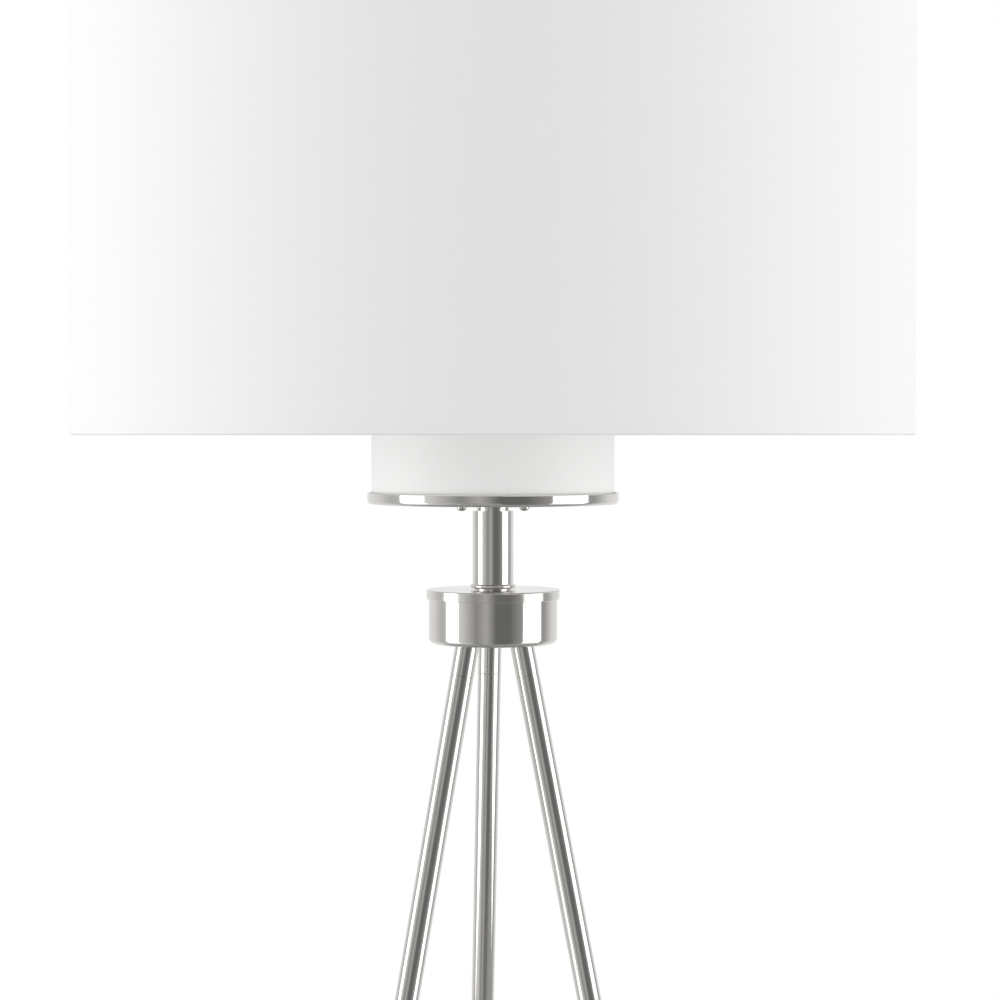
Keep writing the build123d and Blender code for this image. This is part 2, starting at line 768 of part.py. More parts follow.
# ---------------------------------------------------------------- harp and finial
with BuildPart() as harp_bow:
    shoulder_z = harp_foot_z + harp_shoulder_height
    right_side = [
        (harp_foot_x, harp_foot_z),
        (harp_foot_x, harp_foot_z + harp_neck_height),
        (harp_bulge, shoulder_z),
        (harp_bulge, harp_top_z),
    ]
    left_side = [(-x, z) for x, z in reversed(right_side)]
    with BuildLine(Plane.XZ):
        crown_radius = harp_bulge - 6
        FilletPolyline(*right_side, *left_side, radius=[25, 45, crown_radius, crown_radius, 45, 25])
    with BuildSketch(Plane.XY.offset(harp_foot_z)):
        with Locations((harp_foot_x, 0)):
            Circle(harp_wire / 2)
    sweep()
keep(harp_bow.part, "harp_bow")

sleeve_bottom_z = saddle_top_z + saddle_tab_height - harp_sleeve_height
sleeve_middle_x = (saddle_span + saddle_thickness + harp_wire) / 2
sleeve_inside_x = saddle_thickness + harp_wire + 2 * harp_sleeve_play
sleeve_inside_y = saddle_tab_width + 2 * harp_sleeve_play
for number, side in enumerate((1, -1), start=1):
    with BuildPart() as harp_sleeve:
        with BuildSketch(Plane.XY.offset(sleeve_bottom_z)):
            with Locations((side * sleeve_middle_x, 0)):
                RectangleRounded(
                    sleeve_inside_x + 2 * harp_sleeve_wall,
                    sleeve_inside_y + 2 * harp_sleeve_wall,
                    harp_wire / 2,
                )
                Rectangle(sleeve_inside_x, sleeve_inside_y, mode=Mode.SUBTRACT)
        extrude(amount=harp_sleeve_height)
    keep(harp_sleeve.part, f"harp_sleeve_{number}")

stud_seat_z = spider_z - seat_gap
stud_bottom_z = harp_top_z - harp_wire / 2 - 2
stud_top_z = stud_seat_z + harp_stud_length
with BuildPart() as harp_stud:
    with BuildSketch(Plane.XY.offset(stud_bottom_z)):
        Circle(harp_stud_base_diameter / 2)
    extrude(amount=stud_seat_z - stud_bottom_z)
    with BuildSketch(Plane.XY.offset(stud_seat_z)):
        Circle(harp_stud_diameter / 2)
    extrude(amount=harp_stud_length)
    chamfer(circles_at(harp_stud.part, harp_stud_diameter / 2, stud_top_z), 0.6)
    chamfer(circles_at(harp_stud.part, harp_stud_base_diameter / 2, stud_bottom_z), 0.8)
    with BuildSketch(Plane.YZ.offset(-harp_stud_base_diameter)):
        with Locations((0, harp_top_z)):
            Circle(harp_wire / 2 + slip / 2)
    extrude(amount=2 * harp_stud_base_diameter, mode=Mode.SUBTRACT)
keep(harp_stud.part, "harp_stud")

spider_top_z = spider_z + spider_hub_thickness
finial_z = spider_top_z + seat_gap
finial_top_z = finial_z + finial_height
finial_neck_radius = finial_base_diameter * 0.28
finial_ball_radius = finial_diameter / 2
finial_ball_z = finial_top_z - finial_ball_radius
neck_drop = sqrt(finial_ball_radius**2 - finial_neck_radius**2)
with BuildPart() as finial:
    with BuildSketch(Plane.XZ):
        with BuildLine():
            Polyline(
                (0, finial_z),
                (finial_base_diameter / 2, finial_z),
                (finial_base_diameter / 2, finial_z + 2.0),
                (finial_neck_radius, finial_z + 3.2),
                (finial_neck_radius, finial_ball_z - neck_drop),
            )
            ThreePointArc(
                (finial_neck_radius, finial_ball_z - neck_drop),
                (finial_ball_radius, finial_ball_z),
                (0, finial_top_z),
            )
            Line((0, finial_top_z), (0, finial_z))
        make_face()
    revolve(axis=Axis.Z)
    with BuildSketch(Plane.XY.offset(finial_z)):
        Circle(harp_stud_diameter / 2 + running)
    extrude(amount=stud_top_z - finial_z + 1.0, mode=Mode.SUBTRACT)
keep(finial.part, "finial")

# ---------------------------------------------------------------- shade
ring_inset = hem_thickness + ring_wire / 2


def shade_ring(label, height):
    """A steel wire hoop inside the liner."""
    with BuildPart() as hoop:
        with BuildSketch(Plane.XZ):
            with Locations((ring_radius, height)):
                Circle(ring_wire / 2)
        revolve(axis=Axis.Z)
    return keep(hoop.part, label)


top_ring_z = shade_top_z - ring_inset
bottom_ring_z = shade_bottom_z + ring_inset
top_ring = shade_ring("shade_top_ring", top_ring_z)
shade_ring("shade_bottom_ring", bottom_ring_z)

arm_z = spider_z + spider_hub_thickness / 2
arm_start = spider_hub_diameter / 2 - spider_arm_in_hub


def arm_plane(azimuth):
    """The upright plane through the lamp's axis that an arm lies in, x outward and y up."""
    outward = (cos(radians(azimuth)), sin(radians(azimuth)), 0)
    across = Vector(*outward).cross(Vector(0, 0, 1))
    return Plane(origin=(0, 0, 0), x_dir=outward, z_dir=across)


with BuildPart() as spider_hub:
    with BuildSketch(Plane.XY.offset(spider_z)):
        Circle(spider_hub_diameter / 2)
        Circle(harp_stud_diameter / 2 + running, mode=Mode.SUBTRACT)
    extrude(amount=spider_hub_thickness)
    chamfer(circles_at(spider_hub.part, spider_hub_diameter / 2, spider_z), 0.5)
    chamfer(circles_at(spider_hub.part, spider_hub_diameter / 2, spider_top_z), 0.5)
    for azimuth in spider_azimuths:
        outward = (cos(radians(azimuth)), sin(radians(azimuth)), 0)
        start = Vector(*outward) * arm_start + Vector(0, 0, arm_z)
        with BuildSketch(Plane(origin=start, z_dir=outward)):
            Circle(spider_wire / 2)
        extrude(amount=spider_hub_diameter, mode=Mode.SUBTRACT)
keep(spider_hub.part, "spider_hub")

spider_arms = []
for number, azimuth in enumerate(spider_azimuths, start=1):
    upright = arm_plane(azimuth)
    with BuildPart() as arm:
        with BuildLine(upright) as route:
            FilletPolyline(
                (arm_start, arm_z),
                (spider_arm_level, arm_z),
                (ring_radius, top_ring_z),
                radius=spider_arm_bend,
            )
        with BuildSketch(Plane(origin=route.line @ 0, z_dir=route.line % 0)):
            Circle(spider_wire / 2)
        sweep()
        add(top_ring, mode=Mode.SUBTRACT)
    spider_arms.append(keep(arm.part, f"spider_arm_{number}"))

turned(
    "shade_liner",
    [
        (liner_inner, shade_bottom_z + hem_thickness),
        (liner_outer, shade_bottom_z + hem_thickness),
        (liner_outer, shade_top_z - hem_thickness),
        (liner_inner, shade_top_z - hem_thickness),
    ],
)
turned(
    "shade_fabric",
    [
        (liner_outer, shade_bottom_z + hem_thickness),
        (shade_radius, shade_bottom_z + hem_thickness),
        (shade_radius, shade_top_z - hem_thickness),
        (liner_outer, shade_top_z - hem_thickness),
    ],
)


def hem_outline(edge_z, inward):
    """The fabric's turned edge: over the rim, down the hoop's inner side and back to the liner.

    edge_z is the shade's edge, and inward is +1 for the bottom hem and -1 for the top one.
    """
    hoop_inner = ring_radius - ring_wire / 2
    past_hoop = hem_thickness + ring_wire
    return [
        (shade_radius, edge_z),
        (hoop_inner - hem_thickness, edge_z),
        (hoop_inner - hem_thickness, edge_z + inward * past_hoop),
        (liner_inner - hem_thickness, edge_z + inward * hem_width * 0.8),
        (liner_inner - hem_thickness, edge_z + inward * hem_width),
        (liner_inner, edge_z + inward * hem_width),
        (liner_inner, edge_z + inward * hem_width * 0.75),
        (hoop_inner, edge_z + inward * past_hoop),
        (hoop_inner, edge_z + inward * hem_thickness),
        (shade_radius, edge_z + inward * hem_thickness),
    ]


turned("shade_hem_bottom", hem_outline(shade_bottom_z, 1))
with BuildPart() as hem_top:
    with BuildSketch(Plane.XZ):
        with BuildLine():
            Polyline(*hem_outline(shade_top_z, -1), close=True)
        make_face()
    revolve(axis=Axis.Z)
    # The hem is snipped where each arm comes through it to the hoop.
    for azimuth in spider_azimuths:
        outward = Vector(cos(radians(azimuth)), sin(radians(azimuth)), 0)
        middle = outward * (ring_radius - ring_wire) + Vector(0, 0, top_ring_z - 1)
        with Locations(Plane(origin=middle, x_dir=outward, z_dir=(0, 0, 1))):
            Box(3 * hem_thickness + ring_wire, spider_wire + 1, ring_wire + 4, mode=Mode.SUBTRACT)
keep(hem_top.part, "shade_hem_top")

# ---------------------------------------------------------------- files
os.makedirs("parts", exist_ok=True)
for piece in made:
    export_step(piece, f"parts/{piece.label}.step")

print(f"{len(made)} nodes, leg tilt {leg_tilt:.2f} degrees, leg length {leg_length:.1f} mm")
print(f"levels: hub {hub_bottom_z} lid {lid_top_z} tray {tray_bottom_z} rim {tray_rim_z}")
print(f"shade {shade_bottom_z} to {shade_top_z}, finial top {finial_top_z}, glass top {glass_top_z}")
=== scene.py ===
import json
import math

import bpy
import numpy as np
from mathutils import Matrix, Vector


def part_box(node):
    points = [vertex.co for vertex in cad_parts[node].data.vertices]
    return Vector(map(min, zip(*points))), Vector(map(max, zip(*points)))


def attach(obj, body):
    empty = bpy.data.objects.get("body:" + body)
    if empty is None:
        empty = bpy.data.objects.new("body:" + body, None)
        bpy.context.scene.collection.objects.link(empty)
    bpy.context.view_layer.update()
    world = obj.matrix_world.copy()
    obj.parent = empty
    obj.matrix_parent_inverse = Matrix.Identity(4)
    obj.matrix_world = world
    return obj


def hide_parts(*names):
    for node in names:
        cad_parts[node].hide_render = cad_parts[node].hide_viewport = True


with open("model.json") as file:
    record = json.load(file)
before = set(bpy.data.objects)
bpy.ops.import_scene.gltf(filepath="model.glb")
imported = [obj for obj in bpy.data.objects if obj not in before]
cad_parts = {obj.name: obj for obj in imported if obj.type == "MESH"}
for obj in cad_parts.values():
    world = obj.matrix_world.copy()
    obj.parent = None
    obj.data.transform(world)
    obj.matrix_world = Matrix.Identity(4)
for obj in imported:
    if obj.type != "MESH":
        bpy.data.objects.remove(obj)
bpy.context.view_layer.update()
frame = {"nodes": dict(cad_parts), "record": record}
nodes = frame["nodes"]
MM = 0.001
FULL_TURN = 2 * math.pi
UP, DOWN = (0, 0, 1), (0, 0, -1)


# ------------------------------------------------------------------ node helpers
class Shader:
    """A material with one Principled shader, and short ways to add and join nodes."""

    def __init__(self, name, **constants):
        self.material = bpy.data.materials.new(name)
        self.material.use_nodes = True
        self.tree = self.material.node_tree
        self.tree.nodes.clear()
        out = self.tree.nodes.new("ShaderNodeOutputMaterial")
        self.bsdf = self.tree.nodes.new("ShaderNodeBsdfPrincipled")
        self.tree.links.new(self.bsdf.outputs[0], out.inputs[0])
        for socket, value in constants.items():
            self.bsdf.inputs[socket.replace("_", " ")].default_value = value

    def node(self, kind, **settings):
        made = self.tree.nodes.new(kind)
        for key, value in settings.items():
            setattr(made, key, value)
        return made

    def plug(self, socket, value):
        """Joins a socket's input to another node's output, or sets it to a plain value."""
        if isinstance(value, bpy.types.NodeSocket):
            self.tree.links.new(value, socket)
        else:
            socket.default_value = value

    def maths(self, operation, *values):
        made = self.node("ShaderNodeMath", operation=operation)
        for socket, value in zip(made.inputs, values):
            self.plug(socket, value)
        return made.outputs[0]

    def place(self, source="Object", scale=(1, 1, 1), turn=(0, 0, 0)):
        """Texture coordinates, turned and then scaled, as one vector."""
        if source == "UV":
            start = self.node("ShaderNodeUVMap").outputs[0]
        else:
            start = self.node("ShaderNodeTexCoord").outputs[source]
        turned = self.node("ShaderNodeMapping", vector_type="TEXTURE")
        turned.inputs["Rotation"].default_value = turn
        self.plug(turned.inputs[0], start)
        sized = self.node("ShaderNodeVectorMath", operation="MULTIPLY")
        self.plug(sized.inputs[0], turned.outputs[0])
        sized.inputs[1].default_value = scale
        return sized.outputs[0]

    def noise(self, where, scale=1.0, detail=2.0, rough=0.5, distortion=0.0):
        made = self.node("ShaderNodeTexNoise")
        self.plug(made.inputs["Vector"], where)
        made.inputs["Scale"].default_value = scale
        made.inputs["Detail"].default_value = detail
        made.inputs["Roughness"].default_value = rough
        made.inputs["Distortion"].default_value = distortion
        return made.outputs[0]

    def spread(self, value, low, high, from_low=0.0, from_high=1.0):
        """Maps a value from one range to another, held inside the new range."""
        made = self.node("ShaderNodeMapRange")
        self.plug(made.inputs[0], value)
        for socket, number in zip(made.inputs[1:5], (from_low, from_high, low, high)):
            socket.default_value = number
        return made.outputs[0]

    def blend(self, amount, first, second):
        made = self.node("ShaderNodeMix", data_type="RGBA")
        self.plug(made.inputs["Factor"], amount)
        self.plug(made.inputs[6], first)
        self.plug(made.inputs[7], second)
        return made.outputs[2]

    def bump(self, height, distance, strength=1.0, under=None):
        made = self.node("ShaderNodeBump")
        made.inputs["Strength"].default_value = strength
        made.inputs["Distance"].default_value = distance
        self.plug(made.inputs["Height"], height)
        if under is not None:
            self.plug(made.inputs["Normal"], under)
        return made.outputs[0]

    def set(self, socket, value):
        self.plug(self.bsdf.inputs[socket], value)


# ------------------------------------------------------------------ materials
def polished_nickel(name, turn=(0, 0, 0), spun=0.0):
    """Mirror nickel: very fine turning lines about the piece's own axis, a faint haze and smudges."""
    s = Shader(name, Metallic=1.0, Anisotropic=spun)
    if spun:
        s.set("Tangent", s.node("ShaderNodeTangent", direction_type="RADIAL", axis="Z").outputs[0])
    lines = s.noise(s.place(scale=(60, 60, 9000), turn=turn), detail=3, rough=0.6)
    haze = s.noise(s.place(), scale=38, detail=4, rough=0.55)
    smudge = s.noise(s.place(scale=(1, 1, 0.6), turn=turn), scale=120, detail=2, distortion=0.6)
    tone = s.blend(s.spread(haze, 0, 1, 0.35, 0.7), (0.80, 0.785, 0.755, 1), (0.83, 0.815, 0.79, 1))
    s.set("Base Color", tone)
    rough = s.spread(haze, 0.045, 0.075, 0.3, 0.7)
    rough = s.maths("ADD", rough, s.spread(lines, 0, 0.02, 0.3, 0.7))
    rough = s.maths("ADD", rough, s.spread(smudge, 0, 0.03, 0.55, 0.75))
    s.set("Roughness", s.maths("ADD", rough, 0.08 * spun))
    s.set("Normal", s.bump(lines, 0.000004, 0.5))
    return s.material


def zinc_steel(name):
    s = Shader(name, Metallic=1.0)
    grain = s.noise(s.place(), scale=900, detail=3, rough=0.6)
    cloud = s.noise(s.place(), scale=90, detail=3)
    tone = s.blend(s.spread(cloud, 0, 1, 0.35, 0.65), (0.56, 0.565, 0.57, 1), (0.68, 0.675, 0.66, 1))
    s.set("Base Color", tone)
    s.set("Roughness", s.spread(grain, 0.24, 0.40, 0.3, 0.7))
    s.set("Normal", s.bump(grain, 0.00002, 0.4))
    return s.material


def brass(name):
    s = Shader(name, Metallic=1.0)
    lines = s.noise(s.place(scale=(80, 80, 5000)), detail=3)
    tarnish = s.noise(s.place(), scale=110, detail=5, rough=0.6, distortion=0.4)
    tone = s.blend(s.spread(tarnish, 0, 1, 0.42, 0.72), (0.83, 0.62, 0.30, 1), (0.60, 0.42, 0.19, 1))
    s.set("Base Color", tone)
    rough = s.spread(tarnish, 0.16, 0.34, 0.4, 0.7)
    s.set("Roughness", s.maths("ADD", rough, s.spread(lines, 0, 0.06, 0.3, 0.7)))
    s.set("Normal", s.bump(lines, 0.00001, 0.5))
    return s.material


def contact_metal(name):
    s = Shader(name, Metallic=1.0)
    scuff = s.noise(s.place(scale=(30, 30, 1500)), detail=4)
    tone = s.blend(s.spread(scuff, 0, 1, 0.35, 0.65), (0.72, 0.68, 0.60, 1), (0.80, 0.78, 0.74, 1))
    s.set("Base Color", tone)
    s.set("Roughness", s.spread(scuff, 0.18, 0.34, 0.3, 0.7))
    s.set("Normal", s.bump(scuff, 0.00001, 0.5))
    return s.material


def cast_metal(name):
    s = Shader(name, Metallic=1.0)
    grit = s.noise(s.place(), scale=1400, detail=4, rough=0.7)
    patch = s.noise(s.place(), scale=140, detail=3)
    tone = s.blend(s.spread(patch, 0, 1, 0.35, 0.65), (0.46, 0.46, 0.47, 1), (0.60, 0.60, 0.60, 1))
    s.set("Base Color", tone)
    s.set("Roughness", s.spread(grit, 0.42, 0.62, 0.3, 0.7))
    s.set("Normal", s.bump(grit, 0.00012, 0.6))
    return s.material


def coated_wire(name):
    s = Shader(name, Specular_IOR_Level=0.5)
    drips = s.noise(s.place(), scale=420, detail=3)
    tone = s.blend(s.spread(drips, 0, 1, 0.35, 0.65), (0.80, 0.80, 0.78, 1), (0.86, 0.86, 0.85, 1))
    s.set("Base Color", tone)
    s.set("Roughness", s.spread(drips, 0.28, 0.42, 0.3, 0.7))
    s.set("Normal", s.bump(drips, 0.00008, 0.4))
    return s.material


def moulded(name, dark, light, rough_low, rough_high, grain=1500, depth=0.00004):
    """A moulded plastic: fine spark-eroded grain with faint handling wear."""
    s = Shader(name, Specular_IOR_Level=0.5)
    texture = s.noise(s.place(), scale=grain, detail=3, rough=0.6)
    wear = s.noise(s.place(), scale=130, detail=4, distortion=0.3)
    s.set("Base Color", s.blend(s.spread(wear, 0, 1, 0.4, 0.75), (*dark, 1), (*light, 1)))
    s.set("Roughness", s.spread(wear, rough_low, rough_high, 0.35, 0.7))
    s.set("Normal", s.bump(texture, depth, 0.5))
    return s.material


def fibre_board(name):
    s = Shader(name, Specular_IOR_Level=0.35)
    fibres = s.noise(s.place(scale=(1, 1, 0.25)), scale=1300, detail=5, rough=0.65)
    mottle = s.noise(s.place(), scale=160, detail=3)
    tone = s.blend(s.spread(fibres, 0, 1, 0.3, 0.7), (0.36, 0.27, 0.17, 1), (0.56, 0.45, 0.31, 1))
    s.set("Base Color", tone)
    s.set("Roughness", s.spread(mottle, 0.5, 0.8, 0.3, 0.7))
    s.set("Normal", s.bump(fibres, 0.00008, 0.5))
    return s.material


def frosted_glass(name):
    """White satin glass: lets soft light through, with an etched grain and slow thickness changes."""
    s = Shader(name, IOR=1.40, Transmission_Weight=0.05, Subsurface_Weight=0.0)
    etch = s.noise(s.place(), scale=2600, detail=3, rough=0.7)
    flow = s.noise(s.place(scale=(1, 1, 0.35)), scale=26, detail=2)
    tone = s.blend(s.spread(flow, 0, 1, 0.3, 0.7), (0.972, 0.974, 0.967, 1), (0.985, 0.987, 0.980, 1))
    s.set("Base Color", tone)
    s.set("Roughness", s.spread(flow, 0.44, 0.52, 0.3, 0.7))
    s.set("Normal", s.bump(etch, 0.00003, 0.35, under=s.bump(flow, 0.0006, 0.25)))
    return s.material


def frosted_bulb(name):
    s = Shader(name, IOR=1.45, Transmission_Weight=0.35, Coat_Weight=0.5, Coat_Roughness=0.06)
    powder = s.noise(s.place(), scale=1800, detail=3)
    streak = s.noise(s.place(scale=(1, 1, 0.4)), scale=60, detail=3)
    tone = s.blend(s.spread(streak, 0, 1, 0.3, 0.7), (0.90, 0.90, 0.885, 1), (0.95, 0.95, 0.94, 1))
    s.set("Base Color", tone)
    s.set("Roughness", s.spread(powder, 0.34, 0.46, 0.3, 0.7))
    s.set("Normal", s.bump(streak, 0.0004, 0.15))
    return s.material


def lining_film(name):
    """The smooth white film inside the shade, with its faint rolled grain and glue print-through."""
    s = Shader(name, Specular_IOR_Level=0.4, Subsurface_Weight=0.0)
    print_through = s.noise(s.place(), scale=240, detail=3)
    rolled = s.noise(s.place(scale=(1, 1, 0.15)), scale=1500, detail=2)
    tone = s.blend(s.spread(print_through, 0, 1, 0.3, 0.7), (0.875, 0.875, 0.86, 1), (0.91, 0.91, 0.90, 1))
    s.set("Base Color", tone)
    s.set("Roughness", s.spread(print_through, 0.42, 0.55, 0.3, 0.7))
    s.set("Normal", s.bump(rolled, 0.00004, 0.4, under=s.bump(print_through, 0.0001, 0.3)))
    return s.material


THREAD = 0.62 * MM  # spacing of the cloth's threads
SLUBS = 0.9 / THREAD  # how often a thicker thread may come, per metre


def linen(name):
    """Plain-weave white linen: crossing threads of uneven thickness, with slubs both ways."""
    s = Shader(name, Specular_IOR_Level=0.2, Sheen_Weight=0.12, Sheen_Roughness=0.6)
    where = s.place("UV")
    split = s.node("ShaderNodeSeparateXYZ")
    s.plug(split.inputs[0], where)
    across, along = split.outputs[0], split.outputs[1]
    wander_u = s.noise(s.place("UV", scale=(120, 14, 1)), detail=2)
    wander_v = s.noise(s.place("UV", scale=(14, 120, 1)), detail=2)
    count = FULL_TURN / THREAD
    warp_wander = s.maths("MULTIPLY", wander_u, 9.0)
    warp = s.maths("SINE", s.maths("MULTIPLY_ADD", across, count, warp_wander))
    weft_wander = s.maths("MULTIPLY", wander_v, 9.0)
    weft = s.maths("SINE", s.maths("MULTIPLY_ADD", along, count * 0.94, weft_wander))
    weave = s.maths("MULTIPLY", warp, weft)
    slub_up = s.noise(s.place("UV", scale=(SLUBS, 22, 1)), detail=2, rough=0.6)
    slub_side = s.noise(s.place("UV", scale=(26, SLUBS, 1)), detail=2, rough=0.6)
    thick = s.maths("ADD", s.spread(slub_up, 0, 1, 0.60, 0.80), s.spread(slub_side, 0, 0.6, 0.62, 0.82))
    height = s.maths("ADD", s.maths("MULTIPLY", weave, 0.5), thick)
    fuzz = s.noise(s.place("UV"), scale=5200, detail=3, rough=0.7)
    height = s.maths("ADD", height, s.maths("MULTIPLY", fuzz, 0.35))
    # Colour follows the bump height. It is darker in the weave's hollows, which is painted shade between
    # the threads, and lighter along the thicker slub threads.
    shade = s.maths("ADD", s.maths("MULTIPLY", weave, 0.10), s.maths("MULTIPLY", thick, 0.5))
    tone = s.blend(s.spread(shade, 0, 1, -0.25, 0.9), (0.80, 0.80, 0.797, 1), (0.84, 0.84, 0.837, 1))
    s.set("Base Color", tone)
    s.set("Roughness", s.spread(weave, 0.82, 0.95, -1, 1))
    s.set("Normal", s.bump(height, 0.00012, 0.45))
    return s.material


slots = {
    "polished_nickel": polished_nickel("polished_nickel"),
    "zinc_steel": zinc_steel("zinc_steel"),
    "white_wire": coated_wire("white_wire"),
    "cast_block": cast_metal("cast_block"),
    "socket_brass": brass("socket_brass"),
    "contact_metal": contact_metal("contact_metal"),
    "insulating_board": fibre_board("insulating_board"),
    "black_phenolic": moulded(
        "black_phenolic", (0.018, 0.017, 0.017), (0.035, 0.034, 0.033), 0.30, 0.48
    ),
    "clear_plastic": moulded(
        "clear_plastic", (0.70, 0.71, 0.72), (0.78, 0.78, 0.78), 0.18, 0.32, depth=0.00001
    ),
    "glide_plastic": moulded("glide_plastic", (0.028, 0.028, 0.029), (0.06, 0.06, 0.06), 0.45, 0.65),
    "frosted_bulb": frosted_bulb("frosted_bulb"),
    "frosted_glass": frosted_glass("frosted_glass"),
    "shade_lining": lining_film("shade_lining"),
    "white_linen": linen("white_linen"),
}
spun_nickel = polished_nickel("spun_nickel", spun=0.6)
slot_of = {part["node"]: part["material_slot"] for part in frame["record"]["subparts"]}


def wear(piece, material):
    """Gives a CAD node or a new piece this one material."""
    piece.data.materials.clear()
    piece.data.materials.append(material)


for name, node in nodes.items():
    wear(node, slots[slot_of[name]])

wear(nodes["hub_lid"], spun_nickel)

LEG_AZIMUTHS = (90, 210, 330)
LEG_RUN, LEG_RISE = 250.0 * MM, 1195.0 * MM
LEG_TILT = math.atan2(LEG_RUN, LEG_RISE)
for number, azimuth in enumerate(LEG_AZIMUTHS, start=1):
    # The leg's own axis, so that the turning lines run square to it.
    turn = (0, -LEG_TILT, math.radians(azimuth))
    leg_nickel = polished_nickel(f"leg_nickel_{number}", turn)
    for part in ("lower_leg", "upper_leg", "leg_stub"):
        wear(nodes[f"{part}_{number}"], leg_nickel)


# ------------------------------------------------------------------ mesh helpers
def finish_piece(name, points, faces, uvs, body, material):
    """Makes a smooth-shaded mesh object with a UV map, riding a body."""
    mesh = bpy.data.meshes.new(name)
    mesh.from_pydata([tuple(p) for p in points], [], faces)
    layer = mesh.uv_layers.new(name="UVMap")
    corner_vertices = np.zeros(len(mesh.loops), np.int32)
    mesh.loops.foreach_get("vertex_index", corner_vertices)
    layer.data.foreach_set("uv", np.asarray(uvs, np.float32)[corner_vertices].ravel())
    mesh.validate()
    mesh.shade_smooth()
    mesh.set_sharp_from_angle(angle=math.radians(40))
    piece = bpy.data.objects.new(name, mesh)
    bpy.context.scene.collection.objects.link(piece)
    wear(piece, material)
    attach(piece, body)
    return piece


def grid_faces(rows, columns, close_columns=False, flip=False, start=0):
    """Quads of a grid of points stored row by row."""
    faces = []
    for i in range(rows - 1):
        for j in range(columns if close_columns else columns - 1):
            a = start + i * columns + j
            b = start + i * columns + (j + 1) % columns
            c, d = b + columns, a + columns
            faces.append((a, d, c, b) if flip else (a, b, c, d))
    return faces


# ------------------------------------------------------------------ shade cloth
CLOTH = 0.38 * MM
CLOTH_OVER_LINER = 0.4 * MM
LINER_WALL = 0.6 * MM
HOOP_WIRE = 3.4 * MM
HOOP_COVERED = 4.6 * MM  # how far up the hoop's inner side the cloth lies
HEM_LANDS = 8.2 * MM  # where the turned cloth meets the liner again
HEM = 11.0 * MM
GLUE = 0.02 * MM
OVERLAP = 13.0 * MM
LAP_START, LAP_RAMP = 9 * MM, 7 * MM  # where the lap lifts over the strip's other end, and over what length
LAP_LIFT = CLOTH + 0.05 * MM
SEAM_AT = math.radians(90)
CLOTH_COLUMNS = 960
WALL_STEPS = 26

fabric_low, fabric_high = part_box("shade_fabric")
hem_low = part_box("shade_hem_bottom")[0].z
hem_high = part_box("shade_hem_top")[1].z
outer = (fabric_high.x - fabric_low.x) / 2
liner_inner = outer - CLOTH_OVER_LINER - LINER_WALL
hoop_inner = liner_inner - HOOP_WIRE


def rounded(corner, before, after, radius, steps=5):
    """Points of a small curve that rounds a corner between two neighbours."""
    corner, before, after = Vector(corner), Vector(before), Vector(after)
    start = corner + (before - corner).normalized() * radius
    end = corner + (after - corner).normalized() * radius
    made = []
    for i in range(steps + 1):
        t = i / steps
        made.append((1 - t) ** 2 * start + 2 * t * (1 - t) * corner + t * t * end)
    return made


def cloth_profile():
    """The cloth's middle line, (radius, height), from the inside of the lower hem to the upper one."""
    half = CLOTH / 2
    low, high = hem_low + half, hem_high - half
    on_liner, on_hoop, outside = liner_inner - half - GLUE, hoop_inner - half, outer - half
    # Radius, distance from the shade's edge, and how softly the cloth bends there.
    turned_in = (
        (on_liner, HEM, 0),
        (on_liner, HEM_LANDS, 1.6 * MM),
        (on_hoop, HOOP_COVERED, 1.4 * MM),
        (on_hoop, 0, 1.5 * MM),
        (outside, 0, 0.75 * MM),
    )
    corners = [((radius, low + inward), bend) for radius, inward, bend in turned_in]
    corners += [((radius, high - inward), bend) for radius, inward, bend in reversed(turned_in)]
    line = [Vector(corners[0][0])]
    for i in range(1, len(corners) - 1):
        bend = rounded(corners[i][0], corners[i - 1][0], corners[i + 1][0], corners[i][1])
        if i == len(turned_in):
            line += [line[-1].lerp(bend[0], k / WALL_STEPS) for k in range(1, WALL_STEPS)]
        line += bend
    line.append(Vector(corners[-1][0]))
    return line


